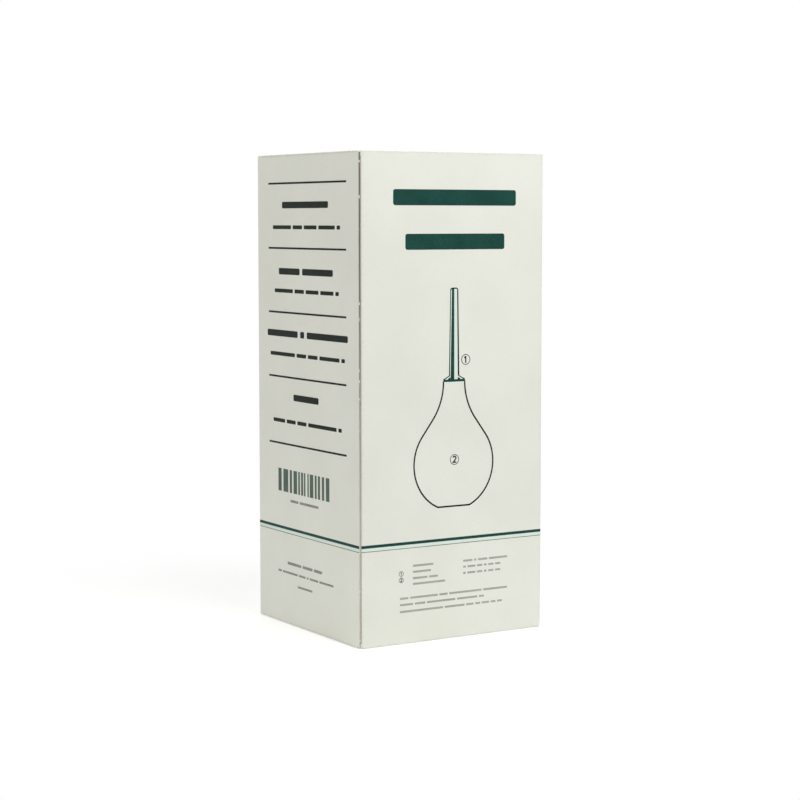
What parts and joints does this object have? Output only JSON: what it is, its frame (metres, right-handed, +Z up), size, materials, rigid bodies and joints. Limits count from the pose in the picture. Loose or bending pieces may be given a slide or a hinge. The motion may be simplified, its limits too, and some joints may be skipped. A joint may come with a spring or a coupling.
{
  "type": "packaged enema syringe",
  "caption": "Upright folding carton with tuck ends that holds a bulb enema syringe: a hollow soft bulb with a hard nozzle plugged into its neck.",
  "frame": {"origin": "centre of the carton's footprint on the surface it stands on", "axes": "+Z up along the nozzle, +X to the right along the front wall, the front wall faces -Y"},
  "size_m": [0.075, 0.073, 0.168],
  "materials": {
    "board": "white-lined board, satin",
    "bulb": "soft PVC, satin",
    "nozzle": "melamine, glossy"
  },
  "bodies": {
    "carton": {"front_panel": "board", "right_panel": "board", "back_panel": "board", "left_panel": "board", "glue_flap": "board"},
    "top_lid": {"top_lid": "board"},
    "top_tuck": {"top_tuck": "board"},
    "top_dust_left": {"top_dust_left": "board"},
    "top_dust_right": {"top_dust_right": "board"},
    "bottom_lid": {"bottom_lid": "board"},
    "bottom_tuck": {"bottom_tuck": "board"},
    "bottom_dust_left": {"bottom_dust_left": "board"},
    "bottom_dust_right": {"bottom_dust_right": "board"},
    "bulb": {"bulb": "bulb"},
    "nozzle": {"nozzle": "nozzle"}
  },
  "joints": [
    {"name": "top_lid_hinge", "type": "hinge", "parent": "carton", "child": "top_lid", "pos_m": [0, 0.03628, 0.16778], "axis": [-1, 0, 0], "range_deg": [0, 200]},
    {"name": "top_tuck_fold", "type": "hinge", "parent": "top_lid", "child": "top_tuck", "pos_m": [0, -0.0347, 0.16755], "axis": [1, 0, 0], "range_deg": [0, 50]},
    {"name": "top_dust_left_fold", "type": "hinge", "parent": "carton", "child": "top_dust_left", "pos_m": [-0.03728, 0, 0.16723], "axis": [0, -1, 0], "range_deg": [0, 100]},
    {"name": "top_dust_right_fold", "type": "hinge", "parent": "carton", "child": "top_dust_right", "pos_m": [0.03728, 0, 0.16723], "axis": [0, 1, 0], "range_deg": [0, 100]},
    {"name": "syringe_lift", "type": "slide", "parent": "carton", "child": "bulb", "axis": [0, 0, 1], "range_m": [0, 0.16755]},
    {"name": "nozzle_pull", "type": "slide", "parent": "bulb", "child": "nozzle", "axis": [0, 0, 1], "range_m": [0, 0.0073]},
    {"name": "bottom_lid_hinge", "type": "hinge", "parent": "carton", "child": "bottom_lid", "pos_m": [0, -0.03628, 0.00022], "axis": [-1, 0, 0], "range_deg": [0, 200]},
    {"name": "bottom_tuck_fold", "type": "hinge", "parent": "bottom_lid", "child": "bottom_tuck", "pos_m": [0, 0.0347, 0.00045], "axis": [1, 0, 0], "range_deg": [0, 50]},
    {"name": "bottom_dust_left_fold", "type": "hinge", "parent": "carton", "child": "bottom_dust_left", "pos_m": [-0.03728, 0, 0.00077], "axis": [0, 1, 0], "range_deg": [0, 100]},
    {"name": "bottom_dust_right_fold", "type": "hinge", "parent": "carton", "child": "bottom_dust_right", "pos_m": [0.03728, 0, 0.00077], "axis": [0, -1, 0], "range_deg": [0, 100]}
  ],
  "couplings": [
    {"joint": "top_lid_hinge", "follows": "syringe_lift", "rad_per_m": 20.833},
    {"joint": "top_tuck_fold", "follows": "syringe_lift", "rad_per_m": 5.2083},
    {"joint": "top_dust_left_fold", "follows": "syringe_lift", "rad_per_m": 10.417},
    {"joint": "top_dust_right_fold", "follows": "syringe_lift", "rad_per_m": 10.417},
    {"joint": "bottom_tuck_fold", "follows": "bottom_lid_hinge", "ratio": 0.25},
    {"joint": "bottom_dust_left_fold", "follows": "bottom_lid_hinge", "ratio": 0.5},
    {"joint": "bottom_dust_right_fold", "follows": "bottom_lid_hinge", "ratio": 0.5}
  ]
}
